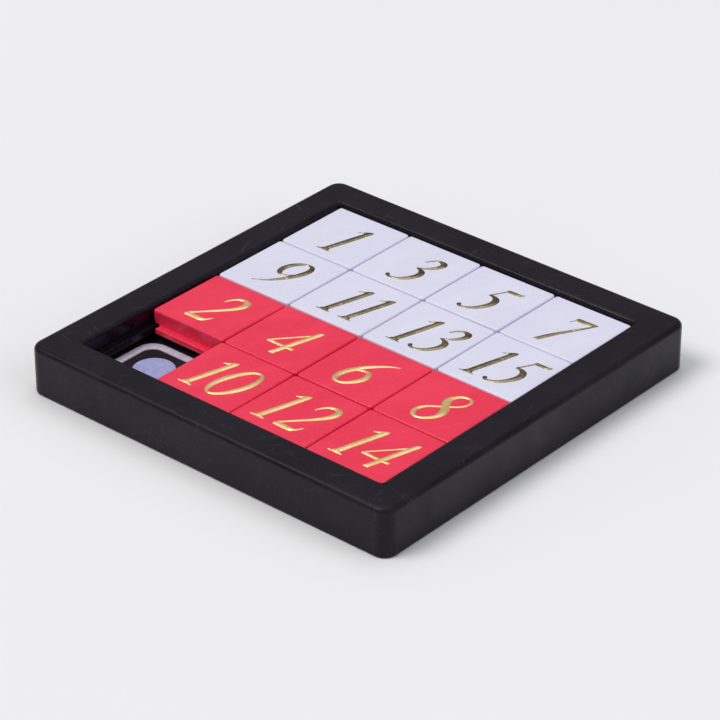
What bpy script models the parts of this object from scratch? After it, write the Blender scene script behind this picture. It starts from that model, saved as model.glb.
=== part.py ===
"""Sliding tile puzzle: a square moulded frame with a plate in its back, and fifteen
numbered tiles that hold each other and the frame by tongues and grooves.

The puzzle lies flat with its numbers up. +X runs along the rows to the right, +Y runs
up the columns towards the first row, +Z is up. The origin is the middle of the square,
on the plane that the frame's rim rests on. All lengths are in metres.
"""

import math

import bpy
import bmesh

MM = 0.001

# ---------------------------------------------------------------- driving dimensions
SIDE = 60.0 * MM            # outside of the square frame
HEIGHT = 7.0 * MM           # rim on the table to the top of the frame
CORNER_R = 1.9 * MM         # frame's upright corners

PITCH = 12.5 * MM           # one cell, centre to centre
CELLS = 4                   # cells along each side
GAP = 0.20 * MM             # running gap, tile to tile and tile to wall
TILE = PITCH - GAP          # width of a tile's body
FIELD = CELLS * PITCH + GAP  # inside of the frame

TILE_TOP = 6.40 * MM        # the tiles' faces lie 0.6 mm below the frame's top
TILE_BOTTOM = 2.72 * MM
TILE_CORNER_R = 0.45 * MM   # upright corners of a tile
TILE_EDGE_R = 0.28 * MM     # rounding round a tile's top face
CORE_HALF = 4.10 * MM       # half width of the pocket moulded up into a tile
CORE_TOP = 5.15 * MM        # the skin above the pocket is 1.25 mm thick

TONGUE_Z = (3.50 * MM, 4.40 * MM)   # tongues on a tile's right and lower sides
TONGUE_OUT = 0.90 * MM              # how far a tongue stands out
TONGUE_HALF = 4.90 * MM             # half of its length
GROOVE_Z = (3.35 * MM, 4.55 * MM)   # grooves on a tile's left and upper sides
GROOVE_DEEP = 1.10 * MM

TOP_EDGE_R = 0.80 * MM      # frame's outer top edge
INNER_EDGE_R = 0.60 * MM    # frame's inner top edge
FOOT_EDGE = 0.35 * MM       # frame's outer bottom edge
REBATE_HALF = 28.0 * MM     # seat for the back plate, cut into the frame's underside
REBATE_Z = 2.50 * MM
INNER_CORNER_R = 0.40 * MM  # corners of the field

PLATE_HALF = 27.9 * MM
PLATE_Z = (1.20 * MM, 2.40 * MM)
PANEL_HALF = 21.0 * MM      # shallow panel sunk into the plate's back
PANEL_DEEP = 0.25 * MM

PEG_AT = 26.20 * MM         # staked pegs stand in the shoulder, off the field
PEG_R = 0.70 * MM
PEG_HEAD_R = 1.00 * MM
PEG_HEAD_Z = (1.30 * MM, 1.64 * MM)
PEG_HOLE_R = 0.82 * MM
PEG_SINK_R = 1.15 * MM
PEG_SINK_Z = 1.76 * MM

MARK_Z = (2.44 * MM, 2.60 * MM)     # markers on the empty cell's floor
MARK_HALF = (5.50 * MM, 5.30 * MM)
MARK_LINE = 1.20 * MM
MARK_R = 2.6 * MM
DISC_R = 2.85 * MM

# Rows from the top down, as the solved puzzle shows them; None is the empty cell.
LAYOUT = (
    (1, 3, 5, 7),
    (9, 11, 13, 15),
    (2, 4, 6, 8),
    (None, 10, 12, 14),
)

# ---------------------------------------------------------------- start from nothing
for old in list(bpy.data.objects):
    bpy.data.objects.remove(old, do_unlink=True)


# ---------------------------------------------------------------- materials
def plastic(name, colour, roughness):
    """A moulded plastic: colour is linear RGB."""
    made = bpy.data.materials.new(name)
    made.use_nodes = True
    shader = made.node_tree.nodes["Principled BSDF"]
    shader.inputs["Base Color"].default_value = (*colour, 1.0)
    shader.inputs["Roughness"].default_value = roughness
    shader.inputs["Metallic"].default_value = 0.0
    made.diffuse_color = (*colour, 1.0)
    return made


BLACK = plastic("black_styrene", (0.013, 0.010, 0.018), 0.34)
PLATE_BLACK = plastic("black_styrene_back", (0.012, 0.010, 0.015), 0.48)
WHITE = plastic("white_styrene", (0.76, 0.76, 0.87), 0.22)
RED = plastic("red_styrene", (0.90, 0.045, 0.105), 0.22)
PALE = plastic("pale_marker", (0.50, 0.49, 0.66), 0.40)
PALE_BLUE = plastic("pale_blue_marker", (0.36, 0.37, 0.68), 0.40)


# ---------------------------------------------------------------- shape helpers
def outline(half_x, half_y, radius, steps):
    """Points of a rectangle with round corners, anticlockwise from above."""
    points = []
    for turn, (sx, sy) in enumerate(((1, 1), (-1, 1), (-1, -1), (1, -1))):
        cx, cy = sx * (half_x - radius), sy * (half_y - radius)
        for i in range(steps + 1):
            angle = math.radians(90.0 * turn + 90.0 * i / steps)
            points.append((cx + radius * math.cos(angle), cy + radius * math.sin(angle)))
    return points


def circle(radius, steps, cx=0.0, cy=0.0):
    """Points of a circle, anticlockwise from above."""
    return [
        (
            cx + radius * math.cos(2 * math.pi * (i + 0.5) / steps),
            cy + radius * math.sin(2 * math.pi * (i + 0.5) / steps),
        )
        for i in range(steps)
    ]


def stack(name, layers, closed=False):
    """A mesh through a stack of outlines with equal counts of points: layers is a list
    of (points, z). A closed stack joins its last layer to its first, as a ring does;
    an open one gets a face at each end."""
    mesh = bpy.data.meshes.new(name)
    build = bmesh.new()
    rings = [[build.verts.new((x, y, z)) for x, y in points] for points, z in layers]
    count = len(rings[0])
    pairs = list(zip(rings, rings[1:]))
    if closed:
        pairs.append((rings[-1], rings[0]))
    for low, high in pairs:
        for i in range(count):
            j = (i + 1) % count
            build.faces.new((low[i], low[j], high[j], high[i]))
    if not closed:
        build.faces.new(list(reversed(rings[0])))
        build.faces.new(rings[-1])
    build.normal_update()
    build.to_mesh(mesh)
    build.free()
    return mesh


def block(name, low, high):
    """A rectangular block between two corners."""
    (x0, y0, z0), (x1, y1, z1) = low, high
    square = [(x0, y0), (x1, y0), (x1, y1), (x0, y1)]
    return stack(name, [(square, z0), (square, z1)])


def add(name, mesh, material=None, location=(0, 0, 0)):
    """Puts a mesh into the scene as an object."""
    made = bpy.data.objects.new(name, mesh)
    made.location = location
    if material is not None:
        mesh.materials.clear()
        mesh.materials.append(material)
    bpy.context.scene.collection.objects.link(made)
    return made


def carve(name, mesh, steps):
    """Runs a list of (operation, mesh) over a mesh as exact Booleans, and returns the
    finished mesh. The helpers go away again."""
    target = add(name + "_blank", mesh)
    helpers = []
    for i, (operation, tool_mesh) in enumerate(steps):
        tool = add(f"{name}_tool_{i}", tool_mesh)
        tool.hide_render = True
        tool.display_type = "WIRE"
        helpers.append(tool)
        cut = target.modifiers.new(f"step_{i}", "BOOLEAN")
        cut.operation = operation
        cut.solver = "EXACT"
        cut.object = tool
    graph = bpy.context.evaluated_depsgraph_get()
    made = bpy.data.meshes.new_from_object(target.evaluated_get(graph))
    made.name = name
    for helper in helpers + [target]:
        bpy.data.objects.remove(helper, do_unlink=True)
    return made


def smooth(mesh, degrees=32.0):
    """Shades the rounded edges smooth and keeps the crisp ones."""
    mesh.shade_smooth()
    mesh.set_sharp_from_angle(angle=math.radians(degrees))


def arc(cx, cz, radius, start, end, steps):
    """Points (x, z) of an arc between two angles in degrees."""
    return [
        (
            cx + radius * math.cos(math.radians(start + (end - start) * i / steps)),
            cz + radius * math.sin(math.radians(start + (end - start) * i / steps)),
        )
        for i in range(steps + 1)
    ]


# ---------------------------------------------------------------- frame
def frame_mesh():
    """The frame's section runs round the square: rim, outer wall with a rounded top
    edge, flat top, rounded inner edge, field wall, shoulder and rebate."""
    half = SIDE / 2
    field = FIELD / 2
    section = [(REBATE_HALF, 0.0)]
    section += arc(half - FOOT_EDGE, FOOT_EDGE, FOOT_EDGE, -90, 0, 2)
    section += arc(half - TOP_EDGE_R, HEIGHT - TOP_EDGE_R, TOP_EDGE_R, 0, 90, 4)
    section += arc(field + INNER_EDGE_R, HEIGHT - INNER_EDGE_R, INNER_EDGE_R, 90, 180, 3)
    section += [(field, REBATE_Z), (REBATE_HALF, REBATE_Z)]

    def corner(h):
        """Corner radius of the outline at half width h."""
        if h >= half - TOP_EDGE_R - 1e-9:
            return CORNER_R - (half - h)
        if h >= REBATE_HALF - 1e-9:
            return 0.6 * MM
        return INNER_CORNER_R + max(0.0, h - field)

    layers = [(outline(h, h, corner(h), 4), z) for h, z in section]
    ring = stack("frame", layers, closed=True)

    deep = field + GROOVE_DEEP
    g0, g1 = GROOVE_Z
    t0, t1 = TONGUE_Z
    inward = field - TONGUE_OUT
    root = field + 0.6 * MM
    steps = [
        # grooves in the right and lower walls, for the tiles' tongues
        ("DIFFERENCE", block("groove_right", (field - 0.5 * MM, -field + 0.1 * MM, g0), (deep, field - 1.3 * MM, g1))),
        ("DIFFERENCE", block("groove_low", (-field + 1.3 * MM, -deep, g0), (field - 0.1 * MM, -field + 0.5 * MM, g1))),
        # ridges on the left and upper walls, for the tiles' grooves
        ("UNION", block("ridge_left", (-root, -field + 0.3 * MM, t0), (-inward, inward - 0.05 * MM, t1))),
        ("UNION", block("ridge_up", (-inward - 0.05 * MM, inward, t0), (field - 0.3 * MM, root, t1))),
    ]
    # pegs that pass through the back plate, with heads flattened over it
    for px, py in peg_places():
        head = circle(PEG_HEAD_R, 14, px, py)
        small = circle(PEG_HEAD_R * 0.72, 14, px, py)
        stem = circle(PEG_R, 14, px, py)
        z0, z1 = PEG_HEAD_Z
        steps.append(
            (
                "UNION",
                stack(
                    "peg",
                    [(small, z0), (head, z0 + 0.14 * MM), (head, z1), (stem, z1 + 0.02 * MM), (stem, REBATE_Z + 0.5 * MM)],
                ),
            )
        )
    return carve("frame", ring, steps)


def peg_places():
    """Four corners and the middle of each side."""
    a = PEG_AT
    return [(a, a), (-a, a), (-a, -a), (a, -a), (a, 0.0), (0.0, a), (-a, 0.0), (0.0, -a)]


# ---------------------------------------------------------------- back plate
def plate_mesh():
    """A flat plate with round corners, a sunk panel in its back, and a stepped hole
    for each peg."""
    z0, z1 = PLATE_Z
    edge = 0.15 * MM
    body = stack(
        "back_plate",
        [
            (outline(PLATE_HALF - edge, PLATE_HALF - edge, 0.45 * MM, 4), z0),
            (outline(PLATE_HALF, PLATE_HALF, 0.55 * MM, 4), z0 + edge),
            (outline(PLATE_HALF, PLATE_HALF, 0.55 * MM, 4), z1),
        ],
    )
    steps = [
        (
            "DIFFERENCE",
            stack(
                "panel",
                [
                    (outline(PANEL_HALF + 0.1 * MM, PANEL_HALF + 0.1 * MM, 2.1 * MM, 4), z0 - 0.2 * MM),
                    (outline(PANEL_HALF - 0.1 * MM, PANEL_HALF - 0.1 * MM, 1.9 * MM, 4), z0 + PANEL_DEEP),
                ],
            ),
        )
    ]
    for px, py in peg_places():
        hole = circle(PEG_HOLE_R, 14, px, py)
        sink = circle(PEG_SINK_R, 14, px, py)
        steps.append(
            (
                "DIFFERENCE",
                stack(
                    "hole",
                    [(sink, z0 - 0.2 * MM), (sink, PEG_SINK_Z), (hole, PEG_SINK_Z + 0.01 * MM), (hole, z1 + 0.2 * MM)],
                ),
            )
        )
    return carve("back_plate", body, steps)


# ---------------------------------------------------------------- markers
def ring_mesh():
    """The empty cell's marker: a square outline with round corners, cut from one
    thin sheet."""
    z0, z1 = MARK_Z
    hx, hy = MARK_HALF
    outer = outline(hx, hy, MARK_R, 6)
    inner = outline(hx - MARK_LINE, hy - MARK_LINE, MARK_R - 0.8 * MM, 6)
    return stack("floor_ring", [(outer, z0), (outer, z1), (inner, z1), (inner, z0)], closed=True)


def disc_mesh():
    """The disc in the middle of the marker."""
    z0, z1 = MARK_Z
    return stack("floor_disc", [(circle(DISC_R, 32), z0), (circle(DISC_R, 32), z1)])


# ---------------------------------------------------------------- tile
def tile_mesh(name):
    """A tile about its own cell's centre: a block with rounded top edges, a tongue on
    its right and lower sides, a groove on its left and upper sides, and a pocket
    moulded up into its underside."""
    half = TILE / 2
    foot = 0.18 * MM
    layers = [
        (outline(half - foot, half - foot, TILE_CORNER_R - foot, 3), TILE_BOTTOM),
        (outline(half, half, TILE_CORNER_R, 3), TILE_BOTTOM + foot),
    ]
    for x, z in arc(half - TILE_EDGE_R, TILE_TOP - TILE_EDGE_R, TILE_EDGE_R, 0, 90, 3):
        layers.append((outline(x, x, TILE_CORNER_R - (half - x), 3), z))
    body = stack(name, layers)

    g0, g1 = GROOVE_Z
    t0, t1 = TONGUE_Z
    reach = half - GROOVE_DEEP
    tip = half + TONGUE_OUT
    root = half - 0.5 * MM
    nose = 0.12 * MM

    def tongue(turned):
        """A tongue with its nose chamfered; turned puts it on the lower side."""
        def at(u, v):
            return (v, -u) if turned else (u, v)
        long_, short = TONGUE_HALF, TONGUE_HALF - nose
        full = [at(root, -long_), at(tip, -long_), at(tip, long_), at(root, long_)]
        slim = [at(root, -short), at(tip - nose, -short), at(tip - nose, short), at(root, short)]
        return stack("tongue", [(slim, t0), (full, t0 + nose), (full, t1 - nose), (slim, t1)])

    steps = [
        ("DIFFERENCE", block("groove_left", (-half - 1 * MM, -half - 1 * MM, g0), (-reach, half + 1 * MM, g1))),
        ("DIFFERENCE", block("groove_up", (-half - 1 * MM, reach, g0), (half + 1 * MM, half + 1 * MM, g1))),
        ("UNION", tongue(False)),
        ("UNION", tongue(True)),
        ("DIFFERENCE", block("pocket", (-CORE_HALF, -CORE_HALF, TILE_BOTTOM - 1 * MM), (CORE_HALF, CORE_HALF, CORE_TOP))),
    ]
    return carve(name, body, steps)


def cell(column, row):
    """Centre of a cell: column from the left, row from the top."""
    return (
        (column - (CELLS - 1) / 2) * PITCH,
        ((CELLS - 1) / 2 - row) * PITCH,
    )


# ---------------------------------------------------------------- the puzzle
case = bpy.data.objects.new("case", None)
bpy.context.scene.collection.objects.link(case)

frame = add("frame", frame_mesh(), BLACK)
plate = add("back_plate", plate_mesh(), PLATE_BLACK)
empty_column, empty_row = next(
    (c, r) for r, line in enumerate(LAYOUT) for c, n in enumerate(line) if n is None
)
dx, dy = cell(empty_column, empty_row)
ring = add("floor_ring", ring_mesh(), PALE, (dx, dy, 0.0))
disc = add("floor_disc", disc_mesh(), PALE_BLUE, (dx, dy, 0.0))
for part in (frame, plate, ring, disc):
    smooth(part.data)
    part.parent = case

white_mesh = tile_mesh("tile_white")
red_mesh = tile_mesh("tile_red")
smooth(white_mesh)
smooth(red_mesh)
for row, line in enumerate(LAYOUT):
    for column, number in enumerate(line):
        if number is None:
            continue
        odd = number % 2 == 1
        tx, ty = cell(column, row)
        tile = add(
            f"tile_{number:02d}",
            white_mesh if odd else red_mesh,
            WHITE if odd else RED,
            (tx, ty, 0.0),
        )
        tile.parent = case
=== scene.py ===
import math

import bmesh
import bpy
import numpy as np
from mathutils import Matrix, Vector


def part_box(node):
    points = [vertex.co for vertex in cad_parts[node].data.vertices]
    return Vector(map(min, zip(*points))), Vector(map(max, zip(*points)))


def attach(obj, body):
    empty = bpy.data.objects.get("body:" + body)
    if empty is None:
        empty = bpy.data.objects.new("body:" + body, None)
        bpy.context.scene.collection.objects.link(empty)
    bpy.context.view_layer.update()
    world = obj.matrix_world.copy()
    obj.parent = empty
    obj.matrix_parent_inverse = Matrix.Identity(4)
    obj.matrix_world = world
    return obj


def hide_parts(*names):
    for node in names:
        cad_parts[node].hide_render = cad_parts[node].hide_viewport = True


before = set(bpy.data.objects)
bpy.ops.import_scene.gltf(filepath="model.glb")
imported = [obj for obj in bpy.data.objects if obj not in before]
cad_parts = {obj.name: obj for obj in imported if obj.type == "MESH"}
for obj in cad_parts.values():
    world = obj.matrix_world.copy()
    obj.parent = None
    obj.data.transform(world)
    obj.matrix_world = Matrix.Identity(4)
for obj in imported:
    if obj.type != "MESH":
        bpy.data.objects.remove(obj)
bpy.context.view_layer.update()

MM = 0.001
scene = bpy.context.scene

# ================================================================ sizes from the frame
frame_lo, frame_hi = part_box("frame")
plate_lo, plate_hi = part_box("back_plate")
ring_lo, ring_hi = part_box("floor_ring")
disc_lo, disc_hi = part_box("floor_disc")
HALF = frame_hi.x                     # half of the square
TOP = frame_hi.z                      # top of the frame
GAP = 0.20 * MM
PITCH = 12.5 * MM
TILE = PITCH - GAP
TONGUE_OUT = 0.90 * MM
FIELD = 2 * PITCH + GAP / 2           # half width of the field
TILE_LO_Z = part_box("tile_01")[0].z
TILE_HI_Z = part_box("tile_01")[1].z
TONGUE_Z = (3.50 * MM, 4.40 * MM)
GROOVE_Z = (3.35 * MM, 4.55 * MM)
GROOVE_DEEP = 1.10 * MM
TONGUE_HALF = 4.90 * MM
REBATE = 28.0 * MM
REBATE_Z = 2.50 * MM
PEG_AT = 26.20 * MM
PEGS = [(PEG_AT, PEG_AT), (-PEG_AT, PEG_AT), (-PEG_AT, -PEG_AT), (PEG_AT, -PEG_AT),
        (PEG_AT, 0.0), (0.0, PEG_AT), (-PEG_AT, 0.0), (0.0, -PEG_AT)]


def tile_centre(number):
    """The cell's centre: a tile's tongues stand out to +X and -Y only."""
    lo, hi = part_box(f"tile_{number:02d}")
    return lo.x + TILE / 2, hi.y - TILE / 2


# ================================================================ camera
AZ, EL = math.radians(40.8), math.radians(30.7)
back = Vector((math.sin(AZ) * math.cos(EL), -math.cos(AZ) * math.cos(EL), math.sin(EL)))
camera_data = bpy.data.cameras.new("camera")
camera = bpy.data.objects.new("camera", camera_data)
scene.collection.objects.link(camera)
camera_data.sensor_width = 36.0
camera_data.lens = 167.0
aim = Vector((0.0, 0.0, 0.0028))
camera.location = aim + back * 0.430
camera.rotation_mode = "QUATERNION"
camera.rotation_quaternion = (-back).to_track_quat("-Z", "Y")
camera_data.clip_start, camera_data.clip_end = 0.01, 20.0
camera_data.dof.use_dof = False
scene.camera = camera


# ================================================================ node helpers
class Graph:
    """Short ways to write a material's nodes."""

    def __init__(self, name):
        self.material = bpy.data.materials.new(name)
        self.material.use_nodes = True
        self.tree = self.material.node_tree
        self.shader = self.tree.nodes["Principled BSDF"]
        self.coords = None

    def node(self, kind, inputs=None, **settings):
        made = self.tree.nodes.new(kind)
        for key, value in settings.items():
            setattr(made, key, value)
        for key, value in (inputs or {}).items():
            socket = made.inputs[key]
            if isinstance(value, bpy.types.NodeSocket):
                self.tree.links.new(value, socket)
            else:
                socket.default_value = value
        return made

    def at(self, scale=(1, 1, 1), turn=(0, 0, 0), move=(0, 0, 0)):
        """The piece's own coordinates in millimetres, turned and stretched."""
        if self.coords is None:
            raw = self.node("ShaderNodeTexCoord").outputs["Object"]
            self.coords = self.node(
                "ShaderNodeVectorMath", {0: raw, 1: (1000.0, 1000.0, 1000.0)}, operation="MULTIPLY"
            ).outputs[0]
        turned = self.node(
            "ShaderNodeMapping",
            {"Vector": self.coords, "Rotation": tuple(math.radians(a) for a in turn), "Location": move},
        ).outputs[0]
        return self.node(
            "ShaderNodeVectorMath", {0: turned, 1: tuple(scale)}, operation="MULTIPLY"
        ).outputs[0]

    def noise(self, scale, detail=3.0, rough=0.55, vector=None, distort=0.0):
        return self.node(
            "ShaderNodeTexNoise",
            {"Vector": vector or self.at(), "Scale": scale, "Detail": detail, "Roughness": rough, "Distortion": distort},
        ).outputs["Fac"]

    def math(self, operation, a, b=0.0, c=0.0, clamp=False):
        made = self.node("ShaderNodeMath", {0: a, 1: b, 2: c}, operation=operation)
        made.use_clamp = clamp
        return made.outputs[0]

    def fit(self, value, a, b, c, d, smooth=True):
        """value from a..b to c..d, clamped."""
        return self.node(
            "ShaderNodeMapRange",
            {"Value": value, "From Min": a, "From Max": b, "To Min": c, "To Max": d},
            interpolation_type="SMOOTHSTEP" if smooth else "LINEAR",
        ).outputs[0]

    def mix(self, factor, a, b):
        """A mix of two colours."""
        made = self.node("ShaderNodeMix", data_type="RGBA")
        for key, value in ((0, factor), (6, a), (7, b)):
            if isinstance(value, bpy.types.NodeSocket):
                self.tree.links.new(value, made.inputs[key])
            else:
                made.inputs[key].default_value = value if key == 0 else (*value, 1.0)[:4]
        return made.outputs[2]

    def bump(self, height, distance, strength=1.0, normal=None):
        inputs = {"Height": height, "Distance": distance, "Strength": strength}
        if normal is not None:
            inputs["Normal"] = normal
        return self.node("ShaderNodeBump", inputs).outputs[0]

    def scratches(self, amount, seed, length=0.055, width=0.9, angles=(12, 68, 131)):
        """Hairlines: thin contour lines of stretched noise, in a few directions, broken up by a slow mask. 1 on a line, 0 off it."""
        total = None
        for i, angle in enumerate(angles):
            field = self.noise(
                1.0, 1.5, 0.5,
                self.at((length, width, 0.4), (0, 0, angle), (seed * 7.3 + i * 19.1, seed * 3.7, 0)),
            )
            line = self.fit(
                self.math("ABSOLUTE", self.math("SUBTRACT", field, 0.5)), 0.0, 0.010, 1.0, 0.0
            )
            mask = self.fit(
                self.noise(0.22, 2.0, 0.5, self.at(move=(seed * 11.0 + i * 5.0, i * 31.0, 3.0))),
                0.50, 0.62, 0.0, amount,
            )
            line = self.math("MULTIPLY", line, mask)
            total = line if total is None else self.math("MAXIMUM", total, line)
        return total

    def edges(self, radius, low, high):
        """1 along outward and inward edges, 0 on flats."""
        rounded = self.node("ShaderNodeBevel", {"Radius": radius}, samples=4).outputs[0]
        flat = self.node("ShaderNodeNewGeometry").outputs["Normal"]
        same = self.node("ShaderNodeVectorMath", {0: rounded, 1: flat}, operation="DOT_PRODUCT").outputs["Value"]
        return self.fit(same, high, low, 0.0, 1.0)

    def put(self, **sockets):
        names = {"colour": "Base Color", "rough": "Roughness", "normal": "Normal", "metal": "Metallic",
                 "level": "Specular IOR Level", "coat": "Coat Weight", "coat_rough": "Coat Roughness"}
        for key, value in sockets.items():
            socket = self.shader.inputs[names[key]]
            if isinstance(value, bpy.types.NodeSocket):
                self.tree.links.new(value, socket)
            else:
                socket.default_value = value
        return self.material


def black_plastic(name, dark, pale, rough, grain, grain_deep, seed, edge_wear_highlight=0.5):
    """Moulded black styrene: soft colour drift, fingered gloss, fine grain, hairlines, and edges painted a little
    paler, partly wear and partly a painted highlight.
    """
    g = Graph(name)
    drift = g.noise(0.11, 3.0, 0.6, g.at(move=(seed, 0, 0)))
    colour = g.mix(g.fit(drift, 0.35, 0.68, 0.0, 1.0), dark, pale)
    # every edge, outward and inward, is painted paler: partly wear, partly a painted highlight
    edge = g.math("MULTIPLY", g.edges(0.22 * MM, 0.80, 0.985), g.fit(g.noise(0.55, 4.0, 0.65), 0.40, 0.66, 0.15, 1.0))
    scuff_highlight_colour = tuple(c * 2.8 + 0.016 for c in pale)
    colour = g.mix(g.math("MULTIPLY", edge, edge_wear_highlight), colour, scuff_highlight_colour)
    lines = g.scratches(0.9, seed + 2.0)
    colour = g.mix(g.math("MULTIPLY", lines, 0.60), colour, scuff_highlight_colour)
    smudge = g.fit(g.noise(0.075, 4.0, 0.62, g.at((1.0, 1.3, 1.0), (0, 0, 31), (seed * 2, 9, 0)), 0.6), 0.40, 0.65, -0.085, 0.100)
    fine = g.fit(g.noise(2.6, 2.0), 0.3, 0.7, -0.020, 0.020)
    roughness = g.math("ADD", g.math("ADD", smudge, fine), g.math("MULTIPLY_ADD", lines, 0.10, rough), clamp=True)
    relief = g.math("ADD", g.noise(grain, 3.0, 0.6), g.math("MULTIPLY", lines, -0.5))
    slow = g.bump(g.noise(0.10, 2.0, 0.5, g.at(move=(5, seed, 0))), 0.045 * MM)
    normal = g.bump(relief, grain_deep, 1.0, slow)
    return g.put(colour=colour, rough=roughness, normal=normal, level=0.20)


def tile_plastic(name, colour, deep, bright, rough, seed):
    """Glossy moulded styrene in a solid colour: flow streaks, a trace of mottling, handling gloss, hairlines and slightly worn edges."""
    g = Graph(name)
    streak = g.noise(0.22, 3.0, 0.6, g.at((1.0, 0.35, 1.0), (0, 0, 24), (seed, 4, 0)), 0.4)
    mottle = g.noise(1.6, 3.0, 0.6)
    base = g.mix(g.fit(streak, 0.34, 0.70, 0.0, 1.0), deep, colour)
    base = g.mix(g.fit(mottle, 0.48, 0.75, 0.0, 0.28), base, bright)
    edge = g.math("MULTIPLY", g.edges(0.16 * MM, 0.80, 0.985), g.fit(g.noise(0.9, 4.0, 0.65), 0.36, 0.64, 0.2, 1.0))
    base = g.mix(g.math("MULTIPLY", edge, 0.35), base, bright)
    lines = g.scratches(0.8, seed + 1.0, 0.07, 1.2)
    base = g.mix(g.math("MULTIPLY", lines, 0.10), base, deep)
    smudge = g.fit(g.noise(0.13, 4.0, 0.62, g.at((1.2, 1.0, 1.0), (0, 0, -19), (seed * 3, 2, 0)), 0.7), 0.42, 0.64, -0.045, 0.075)
    fine = g.fit(g.noise(3.4, 2.0), 0.3, 0.7, -0.015, 0.015)
    roughness = g.math("ADD", g.math("ADD", smudge, fine), g.math("MULTIPLY_ADD", lines, 0.14, rough), clamp=True)
    slow = g.bump(g.noise(0.16, 1.5, 0.45, g.at(move=(seed, 8, 0))), 0.060 * MM)
    peel = g.bump(g.noise(1.1, 2.0, 0.5), 0.0035 * MM, 1.0, slow)
    normal = g.bump(g.math("MULTIPLY", lines, -1.0), 0.004 * MM, 1.0, peel)
    return g.put(colour=base, rough=roughness, normal=normal, level=0.5)


def foil(name, gold, shade, glow, rough, seed, metal):
    """Hot-stamped metal foil: a hammered micro texture from the die, tone that drifts, and specks where the foil took thinly."""
    g = Graph(name)
    drift = g.noise(0.42, 4.0, 0.62, g.at((1, 0.6, 1), (0, 0, 35), (seed, 0, 0)), 0.5)
    colour = g.mix(g.fit(drift, 0.36, 0.66, 0.0, 1.0), shade, gold)
    colour = g.mix(g.fit(g.noise(2.2, 3.0, 0.6), 0.55, 0.74, 0.0, 0.7), colour, glow)
    specks = g.fit(g.noise(5.5, 2.0, 0.5, g.at(move=(seed, 3, 1))), 0.67, 0.72, 0.0, 0.55)
    colour = g.mix(specks, colour, tuple(c * 0.45 for c in shade))
    roughness = g.math("ADD", g.fit(g.noise(1.3, 4.0, 0.65), 0.3, 0.7, rough - 0.07, rough + 0.10), g.math("MULTIPLY", specks, 0.3), clamp=True)
    hammer = g.bump(g.noise(1.8, 3.0, 0.6), 0.020 * MM)
    normal = g.bump(g.noise(7.0, 2.0), 0.004 * MM, 1.0, hammer)
    return g.put(colour=colour, rough=roughness, normal=normal, metal=metal)


def ink(name, colour, shade, pale, rough, seed):
    """A satin printed sheet: ink mottle, a fine dot grain and slight rub marks."""
    g = Graph(name)
    mottle = g.noise(1.1, 4.0, 0.6, g.at(move=(seed, 0, 0)), 0.3)
    base = g.mix(g.fit(mottle, 0.36, 0.66, 0.0, 1.0), shade, colour)
    dots = g.noise(7.5, 2.0, 0.5)
    base = g.mix(g.fit(dots, 0.52, 0.70, 0.0, 0.5), base, pale)
    lines = g.scratches(0.9, seed, 0.09, 1.6)
    base = g.mix(g.math("MULTIPLY", lines, 0.35), base, shade)
    roughness = g.fit(g.noise(0.9, 3.0), 0.3, 0.7, rough - 0.06, rough + 0.08)
    normal = g.bump(dots, 0.004 * MM)
    return g.put(colour=base, rough=roughness, normal=normal, level=0.45)


BLACK = black_plastic("black_styrene", (0.0064, 0.0036, 0.0090), (0.0098, 0.0064, 0.0132), 0.34, 3.0, 0.009 * MM, 1.0, 0.7)
BACK_BLACK = black_plastic("black_styrene_back", (0.0085, 0.0068, 0.0100), (0.0145, 0.0122, 0.0160), 0.56, 5.2, 0.020 * MM, 4.0, 0.35)
WHITE = tile_plastic("white_styrene", (0.782, 0.778, 0.935), (0.742, 0.738, 0.900), (0.835, 0.832, 0.960), 0.22, 2.0)
RED = tile_plastic("red_styrene", (0.915, 0.038, 0.096), (0.855, 0.028, 0.078), (0.950, 0.068, 0.132), 0.22, 6.0)
# One gold foil painted as two copies: the copy on red tiles is brighter and yellower, a painted highlight, and the copy
# on white tiles is darker and browner, painted shade.
GOLD_ON_RED = foil("gold_foil", (0.975, 0.735, 0.350), (0.880, 0.600, 0.240), (1.000, 0.870, 0.520), 0.36, 3.0, 0.66)
GOLD_ON_WHITE = foil("gold_foil_painted_shade", (0.345, 0.278, 0.142), (0.205, 0.168, 0.096), (0.660, 0.540, 0.285), 0.29, 8.0, 1.0)
# The marker's pale and blue inks are painted lighter than their own colour: painted light that lifts the shade in the
# empty cell's well.
PALE = ink("marker_pale", (0.590, 0.520, 0.640), (0.490, 0.430, 0.540), (0.690, 0.640, 0.760), 0.42, 5.0)
BLUE = ink("marker_blue", (0.385, 0.400, 0.700), (0.325, 0.340, 0.625), (0.480, 0.495, 0.780), 0.42, 9.0)


# ================================================================ mesh helpers
def outline(half_x, half_y, radius, steps):
    """Points of a rectangle with round corners, anticlockwise from above."""
    points = []
    for turn, (sx, sy) in enumerate(((1, 1), (-1, 1), (-1, -1), (1, -1))):
        cx, cy = sx * (half_x - radius), sy * (half_y - radius)
        for i in range(steps + 1):
            angle = math.radians(90.0 * turn + 90.0 * i / steps)
            points.append((cx + radius * math.cos(angle), cy + radius * math.sin(angle)))
    return points


def circle(radius, steps, cx=0.0, cy=0.0):
    return [
        (cx + radius * math.cos(2 * math.pi * i / steps), cy + radius * math.sin(2 * math.pi * i / steps))
        for i in range(steps)
    ]


def arc(cx, cz, radius, start, end, steps):
    return [
        (
            cx + radius * math.cos(math.radians(start + (end - start) * i / steps)),
            cz + radius * math.sin(math.radians(start + (end - start) * i / steps)),
        )
        for i in range(steps + 1)
    ]


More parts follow.
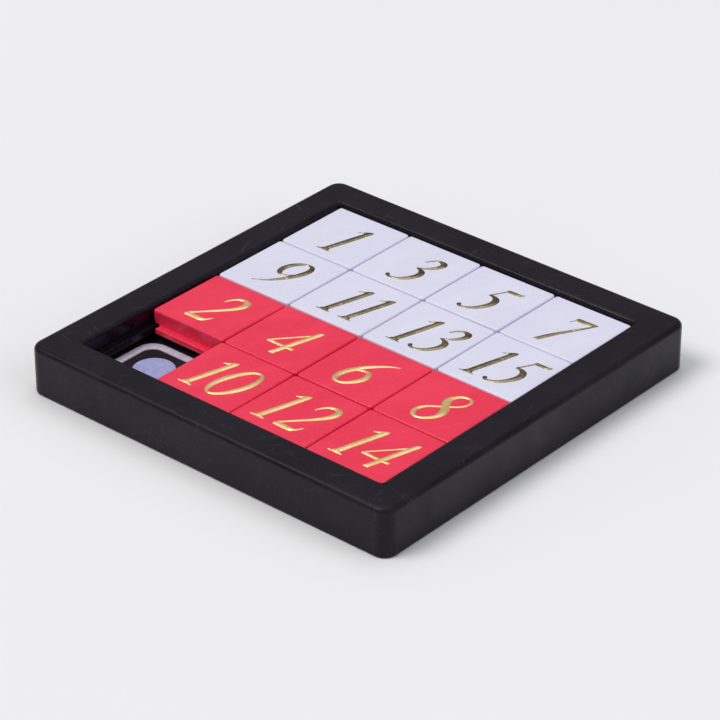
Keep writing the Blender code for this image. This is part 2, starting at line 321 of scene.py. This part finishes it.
def stack(name, layers, closed=False):
    """A closed mesh through a stack of outlines; a closed stack is a ring."""
    mesh = bpy.data.meshes.new(name)
    build = bmesh.new()
    rings = [[build.verts.new((x, y, z)) for x, y in points] for points, z in layers]
    count = len(rings[0])
    pairs = list(zip(rings, rings[1:]))
    if closed:
        pairs.append((rings[-1], rings[0]))
    for low, high in pairs:
        for i in range(count):
            j = (i + 1) % count
            build.faces.new((low[i], low[j], high[j], high[i]))
    if not closed:
        build.faces.new(list(reversed(rings[0])))
        build.faces.new(rings[-1])
    build.normal_update()
    build.to_mesh(mesh)
    build.free()
    return mesh


def block(name, low, high):
    (x0, y0, z0), (x1, y1, z1) = low, high
    square = [(x0, y0), (x1, y0), (x1, y1), (x0, y1)]
    return stack(name, [(square, z0), (square, z1)])


def place(name, mesh, material=None):
    made = bpy.data.objects.new(name, mesh)
    scene.collection.objects.link(made)
    if material is not None:
        mesh.materials.clear()
        mesh.materials.append(material)
    return made


def evaluated(target):
    graph = bpy.context.evaluated_depsgraph_get()
    return bpy.data.meshes.new_from_object(target.evaluated_get(graph))


def carve(name, mesh, steps, edge=None, edge_angle=48.0):
    """Exact Booleans over a mesh, then a small rounding on its crisp edges."""
    target = place(name + "_blank", mesh)
    tools = []
    for i, (operation, tool_mesh) in enumerate(steps):
        tool = place(f"{name}_tool_{i}", tool_mesh)
        tools.append(tool)
        cut = target.modifiers.new(f"step_{i}", "BOOLEAN")
        cut.operation, cut.solver, cut.object = operation, "EXACT", tool
    made = evaluated(target)
    for o in tools + [target]:
        bpy.data.objects.remove(o, do_unlink=True)
    build = bmesh.new()
    build.from_mesh(made)
    bmesh.ops.remove_doubles(build, verts=build.verts, dist=1e-7)
    bmesh.ops.dissolve_degenerate(build, edges=build.edges, dist=1e-7)
    build.to_mesh(made)
    build.free()
    if edge:
        target = place(name + "_blank", made)
        rounding = target.modifiers.new("rounding", "BEVEL")
        rounding.width, rounding.segments = edge, 2
        rounding.limit_method, rounding.angle_limit = "ANGLE", math.radians(edge_angle)
        rounding.use_clamp_overlap = True
        rounding.harden_normals = False
        rounded = evaluated(target)
        bpy.data.objects.remove(target, do_unlink=True)
        made = rounded
        build = bmesh.new()
        build.from_mesh(made)
        bmesh.ops.remove_doubles(build, verts=build.verts, dist=1e-6)
        build.to_mesh(made)
        build.free()
    made.name = name
    return made


def shade(mesh, degrees=30.0):
    """Smooth over gentle turns, crisp over sharp ones."""
    mesh.shade_smooth()
    mesh.set_sharp_from_angle(angle=math.radians(degrees))


def weigh(target):
    m = target.modifiers.new("normals", "WEIGHTED_NORMAL")
    m.mode, m.weight, m.keep_sharp = "FACE_AREA", 100, True


def finish_piece(name, mesh, material, body, nodes=(), degrees=30.0, weighted=True):
    """Shades a mesh, gives it its material, puts it on its body and hides the solid's parts it stands in for."""
    shade(mesh, degrees)
    made = place(name, mesh, material)
    if weighted:
        weigh(made)
        flat = evaluated(made)
        made.modifiers.clear()
        made.data = flat
    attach(made, body)
    if nodes:
        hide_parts(*nodes)
    return made


# ================================================================ frame
def frame_mesh():
    section = [(REBATE, 0.0)]
    section += arc(HALF - 0.35 * MM, 0.35 * MM, 0.35 * MM, -90, 0, 5)
    section += arc(HALF - 0.8 * MM, TOP - 0.8 * MM, 0.8 * MM, 0, 90, 9)
    section += arc(FIELD + 0.6 * MM, TOP - 0.6 * MM, 0.6 * MM, 90, 180, 7)
    section += [(FIELD, REBATE_Z), (REBATE, REBATE_Z)]

    def corner(h):
        if h >= HALF - 0.8 * MM - 1e-9:
            return 1.9 * MM - (HALF - h)
        if h >= REBATE - 1e-9:
            return 0.6 * MM
        return 0.40 * MM + max(0.0, h - FIELD)

    ring = stack("case_frame", [(outline(h, h, corner(h), 12), z) for h, z in section], closed=True)
    deep = FIELD + GROOVE_DEEP
    g0, g1 = GROOVE_Z
    t0, t1 = TONGUE_Z
    inward = FIELD - TONGUE_OUT
    root = FIELD + 0.6 * MM
    steps = [
        ("DIFFERENCE", block("a", (FIELD - 0.5 * MM, -FIELD + 0.1 * MM, g0), (deep, FIELD - 1.3 * MM, g1))),
        ("DIFFERENCE", block("b", (-FIELD + 1.3 * MM, -deep, g0), (FIELD - 0.1 * MM, -FIELD + 0.5 * MM, g1))),
        ("UNION", block("c", (-root, -FIELD + 0.3 * MM, t0), (-inward, inward - 0.05 * MM, t1))),
        ("UNION", block("d", (-inward - 0.05 * MM, inward, t0), (FIELD - 0.3 * MM, root, t1))),
    ]
    return carve("case_frame", ring, steps, 0.05 * MM)


finish_piece("case_frame", frame_mesh(), BLACK, "case", ["frame"])


def stake_mesh():
    """The pegs' flattened heads: eight turned buttons with a dimple from the staking tool."""
    made = bmesh.new()
    steps = 28
    profile = [(0.0, 1.42), (0.30, 1.405), (0.46, 1.36), (0.58, 1.315), (0.72, 1.302), (0.86, 1.34),
               (0.96, 1.42), (1.00, 1.50), (0.985, 1.60), (0.93, 1.66), (0.72, 1.67), (0.70, 1.80), (0.70, 2.48), (0.0, 2.48)]
    for px, py in PEGS:
        rows = []
        for r, z in profile:
            if r == 0.0:
                rows.append([made.verts.new((px, py, z * MM))])
            else:
                rows.append([made.verts.new((px + x, py + y, z * MM)) for x, y in circle(r * MM, steps)])
        for low, high in zip(rows, rows[1:]):
            for i in range(steps):
                j = (i + 1) % steps
                if len(low) == 1:
                    made.faces.new((low[0], high[i], high[j]))
                elif len(high) == 1:
                    made.faces.new((low[j], low[i], high[0]))
                else:
                    made.faces.new((low[i], high[i], high[j], low[j]))
    bmesh.ops.recalc_face_normals(made, faces=made.faces)
    mesh = bpy.data.meshes.new("peg_heads")
    made.to_mesh(mesh)
    made.free()
    return mesh


finish_piece("peg_heads", stake_mesh(), BLACK, "case", (), 50.0, False)


# ================================================================ back plate
def plate_mesh():
    z0, z1 = plate_lo.z, plate_hi.z
    half = plate_hi.x
    layers = [(outline(half - 0.15 * MM, half - 0.15 * MM, 0.45 * MM, 8), z0)]
    layers += [
        (outline(half, half, 0.55 * MM, 8), z0 + 0.15 * MM),
        (outline(half, half, 0.55 * MM, 8), z1),
    ]
    body = stack("case_back", layers)
    steps = [
        (
            "DIFFERENCE",
            stack("panel", [
                (outline(21.1 * MM, 21.1 * MM, 2.1 * MM, 12), z0 - 0.2 * MM),
                (outline(20.9 * MM, 20.9 * MM, 1.9 * MM, 12), z0 + 0.25 * MM),
            ]),
        )
    ]
    for px, py in PEGS:
        hole, sink = circle(0.82 * MM, 32, px, py), circle(1.15 * MM, 32, px, py)
        steps.append((
            "DIFFERENCE",
            stack("hole", [(sink, z0 - 0.2 * MM), (sink, 1.76 * MM), (hole, 1.77 * MM), (hole, z1 + 0.2 * MM)]),
        ))
    # round marks of the ejector pins, and the trimmed gate in the middle
    for ex, ey in ((14, 14), (-14, 14), (-14, -14), (14, -14)):
        pin = circle(1.9 * MM, 40, ex * MM, ey * MM)
        steps.append(("DIFFERENCE", stack("pin", [(pin, z0 + 0.1 * MM), (pin, z0 + 0.36 * MM)])))
    gate = [(circle(0.66 * MM, 28), z0 + 0.06 * MM), (circle(0.80 * MM, 28), z0 + 0.11 * MM), (circle(0.86 * MM, 28), z0 + 0.4 * MM)]
    steps.append(("UNION", stack("gate", gate)))
    return carve("case_back", body, steps, 0.04 * MM)


finish_piece("case_back", plate_mesh(), BACK_BLACK, "case", ["back_plate"])


# ================================================================ markers in the empty cell
def marker_meshes():
    z0, z1 = ring_lo.z, ring_hi.z
    cx, cy = (ring_lo.x + ring_hi.x) / 2, (ring_lo.y + ring_hi.y) / 2
    hx, hy = (ring_hi.x - ring_lo.x) / 2, (ring_hi.y - ring_lo.y) / 2
    line, r, b = 1.20 * MM, 2.6 * MM, 0.05 * MM
    shift = lambda pts: [(x + cx, y + cy) for x, y in pts]
    out = lambda inset: shift(outline(hx - inset, hy - inset, r - inset, 14))
    inn = lambda inset: shift(outline(hx - line + inset, hy - line + inset, r - 0.8 * MM + inset, 14))
    ring = stack("marker_ring", [
        (out(0.0), z0), (out(0.0), z1 - b), (out(0.3 * b), z1 - 0.3 * b), (out(b), z1),
        (inn(b), z1), (inn(0.3 * b), z1 - 0.3 * b), (inn(0.0), z1 - b), (inn(0.0), z0),
    ], closed=True)
    dx, dy = (disc_lo.x + disc_hi.x) / 2, (disc_lo.y + disc_hi.y) / 2
    dr = (disc_hi.x - disc_lo.x) / 2
    disc = stack("marker_disc", [
        (circle(dr, 64, dx, dy), z0), (circle(dr, 64, dx, dy), z1 - b),
        (circle(dr - 0.3 * b, 64, dx, dy), z1 - 0.3 * b), (circle(dr - b, 64, dx, dy), z1),
    ])
    return ring, disc


ring_mesh, disc_mesh = marker_meshes()
finish_piece("marker_ring", ring_mesh, PALE, "case", ["floor_ring"])
finish_piece("marker_disc", disc_mesh, BLUE, "case", ["floor_disc"])


# ================================================================ tiles
def tile_mesh(name):
    """A tile about its cell's centre, with finer rounding than the solid, and a face that sinks a little over the pocket, as a moulding does."""
    half = TILE / 2
    foot = 0.18 * MM
    corner_r, edge_r = 0.45 * MM, 0.28 * MM
    layers = [
        (outline(half - foot, half - foot, corner_r - foot, 6), TILE_LO_Z),
        (outline(half, half, corner_r, 6), TILE_LO_Z + foot),
    ]
    for x, z in arc(half - edge_r, TILE_HI_Z - edge_r, edge_r, 0, 90, 6):
        layers.append((outline(x, x, corner_r - (half - x), 6), z))
    for inset, sink in ((0.8, 0.000), (1.6, 0.004), (2.6, 0.010), (3.8, 0.015), (5.0, 0.018)):
        h = half - inset * MM
        layers.append((outline(h, h, min(0.17 * MM + inset * 0.25 * MM, h * 0.9), 6), TILE_HI_Z - sink * MM))
    body = stack(name, layers)
    g0, g1 = GROOVE_Z
    t0, t1 = TONGUE_Z
    reach, tip, root, nose = half - GROOVE_DEEP, half + TONGUE_OUT, half - 0.5 * MM, 0.12 * MM

    def tongue(turned):
        at = (lambda u, v: (v, -u)) if turned else (lambda u, v: (u, v))
        long_, short = TONGUE_HALF, TONGUE_HALF - nose
        full = [at(root, -long_), at(tip, -long_), at(tip, long_), at(root, long_)]
        slim = [at(root, -short), at(tip - nose, -short), at(tip - nose, short), at(root, short)]
        return stack("tongue", [(slim, t0), (full, t0 + nose), (full, t1 - nose), (slim, t1)])

    far = 1 * MM
    pocket = [(outline(4.1 * MM, 4.1 * MM, 0.5 * MM, 5), TILE_LO_Z - far), (outline(4.1 * MM, 4.1 * MM, 0.5 * MM, 5), 5.15 * MM)]
    steps = [
        ("DIFFERENCE", block("gl", (-half - far, -half - far, g0), (-reach, half + far, g1))),
        ("DIFFERENCE", block("gu", (-half - far, reach, g0), (half + far, half + far, g1))),
        ("UNION", tongue(False)),
        ("UNION", tongue(True)),
        ("DIFFERENCE", stack("pocket", pocket)),
    ]
    return carve(name, body, steps, 0.035 * MM)


# ================================================================ numerals
# Each digit is a set of pen strokes in an upright box one unit high: (x, y, half width).
# They are slanted afterwards. Stems are broad and joins are fine, as in an italic
# book hand.
DIGITS = {
    "1": [
        [(0.235, 0.050, 0.058), (0.235, 0.5, 0.060), (0.235, 0.925, 0.056)],
        [(0.085, 0.850, 0.011), (0.140, 0.878, 0.018), (0.205, 0.925, 0.034), (0.256, 0.962, 0.028)],
        [(0.105, 0.012, 0.013), (0.235, 0.014, 0.016), (0.365, 0.012, 0.013)],
        [(0.160, 0.018, 0.014), (0.205, 0.052, 0.040), (0.265, 0.052, 0.040), (0.310, 0.018, 0.014)],
    ],
    "2": [
        [(0.080, 0.735, 0.014), (0.096, 0.832, 0.022), (0.162, 0.932, 0.032), (0.262, 0.962, 0.038),
         (0.365, 0.915, 0.054), (0.410, 0.800, 0.061), (0.390, 0.660, 0.055), (0.312, 0.495, 0.041),
         (0.200, 0.320, 0.030), (0.092, 0.155, 0.026), (0.042, 0.080, 0.026)],
        [(0.052, 0.046, 0.046), (0.160, 0.052, 0.056), (0.285, 0.048, 0.054), (0.378, 0.058, 0.040),
         (0.424, 0.115, 0.020), (0.446, 0.200, 0.010)],
    ],
    "3": [
        [(0.078, 0.800, 0.014), (0.122, 0.900, 0.023), (0.214, 0.962, 0.034), (0.316, 0.942, 0.048),
         (0.372, 0.850, 0.057), (0.350, 0.722, 0.047), (0.268, 0.615, 0.029), (0.165, 0.552, 0.016)],
        [(0.165, 0.552, 0.016), (0.262, 0.528, 0.033), (0.352, 0.455, 0.054), (0.390, 0.330, 0.063),
         (0.362, 0.185, 0.058), (0.276, 0.075, 0.042), (0.170, 0.030, 0.027), (0.082, 0.040, 0.026), (0.036, 0.082, 0.036)],
    ],
    "4": [
        [(0.400, 0.965, 0.016), (0.285, 0.755, 0.019), (0.140, 0.520, 0.019), (0.004, 0.300, 0.016)],
        [(0.004, 0.285, 0.030), (0.240, 0.285, 0.033), (0.500, 0.285, 0.030)],
        [(0.366, -0.030, 0.052), (0.366, 0.500, 0.054), (0.368, 0.890, 0.052), (0.386, 0.960, 0.030)],
    ],
    "5": [
        [(0.190, 0.928, 0.040), (0.310, 0.926, 0.043), (0.412, 0.932, 0.038), (0.452, 0.978, 0.009)],
        [(0.185, 0.935, 0.017), (0.144, 0.780, 0.018), (0.102, 0.635, 0.019)],
        [(0.102, 0.628, 0.019), (0.195, 0.622, 0.034), (0.298, 0.558, 0.052), (0.360, 0.435, 0.063),
         (0.358, 0.280, 0.061), (0.296, 0.132, 0.048), (0.192, 0.048, 0.032), (0.092, 0.030, 0.026), (0.036, 0.075, 0.036)],
    ],
    "6": [
        [(0.515, 0.985, 0.008), (0.395, 0.915, 0.021), (0.248, 0.760, 0.041), (0.130, 0.560, 0.058),
         (0.078, 0.350, 0.062), (0.098, 0.170, 0.053), (0.172, 0.058, 0.036), (0.272, 0.028, 0.026),
         (0.378, 0.078, 0.042), (0.452, 0.205, 0.058), (0.462, 0.355, 0.057), (0.402, 0.488, 0.042),
         (0.308, 0.545, 0.026), (0.205, 0.510, 0.018), (0.118, 0.430, 0.013)],
    ],
    "7": [
        [(0.085, 0.932, 0.046), (0.240, 0.930, 0.050), (0.392, 0.940, 0.042)],
        [(0.082, 0.945, 0.024), (0.062, 0.872, 0.015), (0.042, 0.795, 0.009)],
        [(0.424, 0.968, 0.015), (0.382, 0.815, 0.024), (0.294, 0.540, 0.037), (0.212, 0.270, 0.048), (0.158, -0.030, 0.053)],
    ],
    "8": [
        [(0.452, 0.800, 0.025), (0.412, 0.918, 0.025), (0.300, 0.970, 0.025), (0.186, 0.924, 0.040),
         (0.134, 0.806, 0.055), (0.168, 0.680, 0.062), (0.272, 0.558, 0.063), (0.386, 0.425, 0.065),
         (0.440, 0.262, 0.056), (0.388, 0.104, 0.040), (0.254, 0.028, 0.026), (0.122, 0.088, 0.038),
         (0.052, 0.226, 0.043), (0.088, 0.362, 0.034), (0.196, 0.472, 0.026), (0.334, 0.585, 0.023),
         (0.426, 0.690, 0.024), (0.452, 0.800, 0.025)],
    ],
}
DIGITS["9"] = [[(0.535 - x, 1.0 - y, w) for x, y, w in reversed(s)] for s in DIGITS["6"]]
DIGITS["9"][0][-4:] = [(0.418, 0.440, 0.053), (0.330, 0.235, 0.035), (0.215, 0.090, 0.018), (0.085, 0.012, 0.008)]
DIGITS["0"] = [[
    (0.280 + 0.222 * math.cos(a), 0.5 + 0.470 * math.sin(a), 0.023 + 0.039 * abs(math.cos(a + 0.16)) ** 1.6)
    for a in (2 * math.pi * i / 24 for i in range(25))
]]
SLANT = 0.275
NUMERAL_H = 7.9 * MM
AFTER_ONE = {"0": 0.455, "1": 0.465, "2": 0.540, "3": 0.500, "4": 0.500, "5": 0.515}


def curve_through(points, steps=7):
    """A Catmull-Rom curve through (x, y, half width) points."""
    p = np.array(points, float)
    closed = np.allclose(p[0], p[-1])
    before = p[-2] if closed else 2 * p[0] - p[1]
    after = p[1] if closed else 2 * p[-1] - p[-2]
    q = np.vstack([before, p, after])
    out = []
    for i in range(1, len(q) - 2):
        a, b, c, d = q[i - 1], q[i], q[i + 1], q[i + 2]
        for t in np.arange(steps) / steps:
            out.append(0.5 * (2 * b + (c - a) * t + (2 * a - 5 * b + 4 * c - d) * t * t + (3 * b - a - 3 * c + d) * t ** 3))
    out.append(q[-2])
    out = np.array(out)
    out[:, 2] = np.clip(out[:, 2], 0.008, None)
    return out


def glyph_depth(strokes, x, y):
    """How far each point lies inside the strokes, in the digit's unit; negative outside."""
    best = np.full(x.shape, -9.0)
    for stroke in strokes:
        c = curve_through(stroke)
        for (x0, y0, w0), (x1, y1, w1) in zip(c, c[1:]):
            dx, dy = x1 - x0, y1 - y0
            t = np.clip(((x - x0) * dx + (y - y0) * dy) / max(dx * dx + dy * dy, 1e-12), 0, 1)
            d = w0 + (w1 - w0) * t - np.hypot(x - x0 - t * dx, y - y0 - t * dy)
            best = np.maximum(best, d)
    return best


def numeral_mesh(name, text, cx, cy, base_z):
    """Raised foil numerals about (cx, cy): the top follows the strokes' depth, and a thin wall goes down into the tile."""
    rise, reach, wall, bury, step = 0.150, 0.42, 0.018, 0.05, 0.066     # millimetres
    h = NUMERAL_H / MM
    starts = [0.0, AFTER_ONE[text[1]]] if len(text) == 2 else [0.0]
    ends = []
    for character, start in zip(text, starts):
        for stroke in DIGITS[character]:
            for x, y, w in curve_through(stroke):
                ends += [x - w + start + SLANT * (y - 0.5), x + w + start + SLANT * (y - 0.5)]
    middle = (min(ends) + max(ends)) / 2
    wide = ((max(ends) - min(ends)) / 2 + 0.03) * h
    tall = 0.53 * h
    nx, ny = int(2 * wide / step) + 1, int(2 * tall / step) + 1
    gx, gy = np.linspace(-wide, wide, nx), np.linspace(-tall, tall, ny)
    X, Y = np.meshgrid(gx, gy, indexing="ij")
    uy = Y / h + 0.5
    ux = X / h - SLANT * (uy - 0.5) + middle
    depth = np.full(X.shape, -9.0)
    for character, start in zip(text, starts):
        depth = np.maximum(depth, glyph_depth(DIGITS[character], ux - start, uy))
    depth = np.minimum(depth, np.minimum(uy, 1.0 - uy)) * h
    depth[0, :] = depth[-1, :] = depth[:, 0] = depth[:, -1] = -1.0
    inside = depth > 0
    build = bmesh.new()
    top, skirt = {}, []

    def height(d):
        s = min(d / reach, 1.0)
        return wall + rise * (1.0 - (1.0 - s) ** 2)

    def corner(i, j):
        key = ("c", i, j)
        if key not in top:
            top[key] = build.verts.new((cx + gx[i] * MM, cy + gy[j] * MM, base_z + height(depth[i, j]) * MM))
        return top[key]

    def crossing(a, b):
        key = ("e", *sorted((a, b)))
        if key not in top:
            (i0, j0), (i1, j1) = sorted((a, b))
            d0, d1 = depth[i0, j0], depth[i1, j1]
            t = min(max(d0 / (d0 - d1), 0.06), 0.94)
            top[key] = build.verts.new((
                cx + (gx[i0] + (gx[i1] - gx[i0]) * t) * MM,
                cy + (gy[j0] + (gy[j1] - gy[j0]) * t) * MM,
                base_z + wall * MM,
            ))
        return top[key]

    for i in range(nx - 1):
        for j in range(ny - 1):
            square = ((i, j), (i + 1, j), (i + 1, j + 1), (i, j + 1))
            marks = [inside[c] for c in square]
            if not any(marks):
                continue
            if marks in ([True, False, True, False], [False, True, False, True]):
                # two corners only: two separate triangles
                for k in range(4):
                    if marks[k]:
                        a = crossing(square[k - 1], square[k])
                        b = crossing(square[k], square[(k + 1) % 4])
                        build.faces.new((a, corner(*square[k]), b))
                        skirt.append((b, a))
                continue
            face, cuts = [], []
            for k in range(4):
                here, there = square[k], square[(k + 1) % 4]
                if marks[k]:
                    face.append(corner(*here))
                if marks[k] != marks[(k + 1) % 4]:
                    v = crossing(here, there)
                    face.append(v)
                    cuts.append((v, marks[k]))
            build.faces.new(face)
            if len(cuts) == 2:
                leaving = next(v for v, was in cuts if was)
                entering = next(v for v, was in cuts if not was)
                skirt.append((leaving, entering))
    low = {}

    def under(v):
        if v not in low:
            low[v] = build.verts.new((v.co.x, v.co.y, base_z - bury * MM))
        return low[v]

    rim = []
    for a, b in skirt:
        build.faces.new((b, a, under(a), under(b)))
        rim.append((under(a), under(b)))
    build.edges.ensure_lookup_table()
    loops = [build.edges.get(pair) for pair in rim]
    bmesh.ops.triangle_fill(build, edges=[e for e in loops if e], use_beauty=False, use_dissolve=False)
    bmesh.ops.recalc_face_normals(build, faces=build.faces)
    mesh = bpy.data.meshes.new(name)
    build.to_mesh(mesh)
    build.free()
    return mesh


# ================================================================ put the tiles and numerals in
def seat(mesh, cx, cy, turn, tilt_x, tilt_y):
    """Moves a mesh from its cell's centre to its place, with the small lean it has in its running gap. The foot stays level; the face leans and sits a hair low."""
    co = np.empty(len(mesh.vertices) * 3)
    mesh.vertices.foreach_get("co", co)
    co = co.reshape(-1, 3)
    x, y, z = co[:, 0].copy(), co[:, 1].copy(), co[:, 2].copy()
    co[:, 0] = x - turn * y + cx
    co[:, 1] = y + turn * x + cy
    lift = np.clip((z - TILE_LO_Z) / (TILE_HI_Z - TILE_LO_Z), 0, 1)
    co[:, 2] = z + lift * (tilt_x * x + tilt_y * y - 0.008 * MM)
    mesh.vertices.foreach_set("co", co.astype(np.float32).ravel())
    mesh.update()


# where the stamping die landed on each row's tiles, off their centres, in millimetres
STAMPED = ((0.55, -0.62), (0.55, -0.38), (0.25, -0.36), (0.20, -0.42))

tile_shape = tile_mesh("tile_blank")
rng = np.random.default_rng(15)
for number in range(1, 16):
    white = number % 2 == 1
    cx, cy = tile_centre(number)
    body = f"tile_{number:02d}"
    lean = (cx, cy, rng.uniform(-0.0035, 0.0035), *rng.uniform(-0.0032, 0.0032, 2))
    mesh = tile_shape.copy()
    mesh.name = f"block_{number:02d}"
    seat(mesh, *lean)
    finish_piece(f"block_{number:02d}", mesh, WHITE if white else RED, body, [body])
    dx, dy = STAMPED[round(1.5 - cy / PITCH)]
    numeral = numeral_mesh(f"numeral_{number:02d}", str(number), dx * MM, dy * MM, TILE_HI_Z - 0.013 * MM)
    seat(numeral, *lean)
    finish_piece(f"numeral_{number:02d}", numeral, GOLD_ON_WHITE if white else GOLD_ON_RED, body, (), 50.0, False)
bpy.data.meshes.remove(tile_shape)


# ================================================================ floor, world and lights
def floor():
    g = Graph("floor_paper")
    drift = g.noise(0.004, 2.0)
    g.put(
        colour=g.mix(g.fit(drift, 0.3, 0.7, 0.0, 1.0), (0.860, 0.860, 0.875), (0.875, 0.875, 0.885)),
        rough=0.9, level=0.1,
    )
    mesh = bpy.data.meshes.new("floor")
    s = 8.0
    mesh.from_pydata([(-s, -s, 0), (s, -s, 0), (s, s, 0), (-s, s, 0)], [], [(0, 1, 2, 3)])
    made = place("floor", mesh, g.material)


floor()

world = bpy.data.worlds.new("world")
scene.world = world
world.use_nodes = True
tree = world.node_tree
tree.nodes.clear()
out = tree.nodes.new("ShaderNodeOutputWorld")
seen = tree.nodes.new("ShaderNodeBackground")
seen.inputs["Color"].default_value = (0.865, 0.865, 0.880, 1.0)
seen.inputs["Strength"].default_value = 1.0
soft = tree.nodes.new("ShaderNodeBackground")
soft.inputs["Color"].default_value = (0.94, 0.95, 1.0, 1.0)
soft.inputs["Strength"].default_value = 0.26
path = tree.nodes.new("ShaderNodeLightPath")
pick = tree.nodes.new("ShaderNodeMixShader")
tree.links.new(path.outputs["Is Camera Ray"], pick.inputs[0])
tree.links.new(soft.outputs[0], pick.inputs[1])
tree.links.new(seen.outputs[0], pick.inputs[2])
tree.links.new(pick.outputs[0], out.inputs["Surface"])


def softbox(name, azimuth, elevation, spread, power, colour=(1, 1, 1)):
    """A wide soft source, far away so that the floor is evenly lit. Azimuth 0 stands in front, at -Y."""
    a, e = math.radians(azimuth), math.radians(elevation)
    where = Vector((math.sin(a) * math.cos(e), -math.cos(a) * math.cos(e), math.sin(e)))
    data = bpy.data.lights.new(name, "SUN")
    data.angle, data.energy, data.color = math.radians(spread), power, colour
    made = bpy.data.objects.new(name, data)
    scene.collection.objects.link(made)
    made.location = where
    made.rotation_mode = "QUATERNION"
    made.rotation_quaternion = (-where).to_track_quat("-Z", "Y")


softbox("key", -34, 56, 30, 1.50, (1.0, 0.985, 0.96))
softbox("top", 200, 78, 52, 0.74)
softbox("fill", 104, 36, 48, 0.58, (0.96, 0.98, 1.0))
softbox("card", 238, 44, 40, 0.045)

scene.view_settings.view_transform = "Standard"
scene.view_settings.look = "None"
scene.view_settings.exposure = 0.0
scene.view_settings.gamma = 1.0
